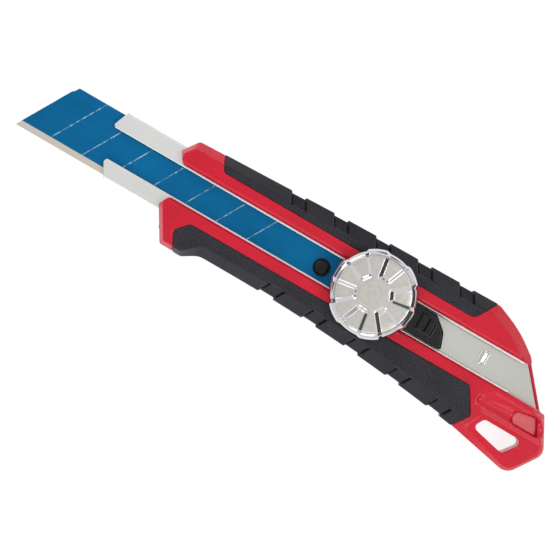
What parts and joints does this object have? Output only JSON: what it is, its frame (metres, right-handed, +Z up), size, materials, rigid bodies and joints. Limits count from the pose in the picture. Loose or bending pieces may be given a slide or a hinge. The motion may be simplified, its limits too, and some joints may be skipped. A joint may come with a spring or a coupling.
{
  "type": "utility knife",
  "caption": "Snap-off utility knife: segmented blade in a steel rail, notched two-tone handle with a lanyard hole, and a metal wheel that locks the slider.",
  "frame": {"origin": "middle of the bounding box at the bottom: the plane that the knife's back rests on", "axes": "+X towards the tail, so the blade's tip points to -X; +Y towards the blade's spine; +Z up, out of the lock wheel"},
  "size_m": [0.1776, 0.0404, 0.021],
  "materials": {
    "red_moulding": "fine-grained moulded plastic, satin",
    "grip_rubber": "soft moulded rubber, matt",
    "rail_steel": "rolled stainless sheet, fine grain along the rail",
    "blade_coating": "thin blue coating on steel, bare ground edge",
    "black_plastic": "moulded, satin",
    "carriage_steel": "blackened",
    "spring_steel": "plain",
    "fastener_steel": "zinc plated",
    "wheel_metal": "cast and plated, face brushed, rim polished"
  },
  "bodies": {
    "handle": {"back_shell": "red_moulding", "upper_cover": "red_moulding", "lower_cover": "red_moulding", "upper_grip": "grip_rubber", "lower_grip": "grip_rubber", "rail": "rail_steel", "rail_rivets": "fastener_steel", "handle_screws": "fastener_steel"},
    "slider": {"slider_body": "black_plastic", "blade_holder": "carriage_steel", "blade_peg": "black_plastic", "leaf_spring": "spring_steel", "blade": "blade_coating", "spring_washer": "spring_steel"},
    "wheel": {"lock_wheel": "wheel_metal", "lock_stud": "fastener_steel", "stud_clip": "spring_steel", "thrust_washer": "fastener_steel"},
    "nut": {"clamp_nut": "fastener_steel"}
  },
  "joints": [
    {"name": "slider_slide", "type": "slide", "parent": "handle", "child": "slider", "axis": [1, 0, 0], "range_m": [-0.058, 0.0305]},
    {"name": "wheel_turn", "type": "hinge", "parent": "slider", "child": "wheel", "pos_m": [0.02405, 0.00455, 0.01415], "axis": [0, 0, 1], "range_deg": [0, 360]},
    {"name": "nut_rise", "type": "slide", "parent": "slider", "child": "nut", "axis": [0, 0, 1], "range_m": [-0.00081, 0]}
  ],
  "couplings": [
    {"joint": "nut_rise", "follows": "wheel_turn", "m_per_rad": -0.00012732}
  ]
}
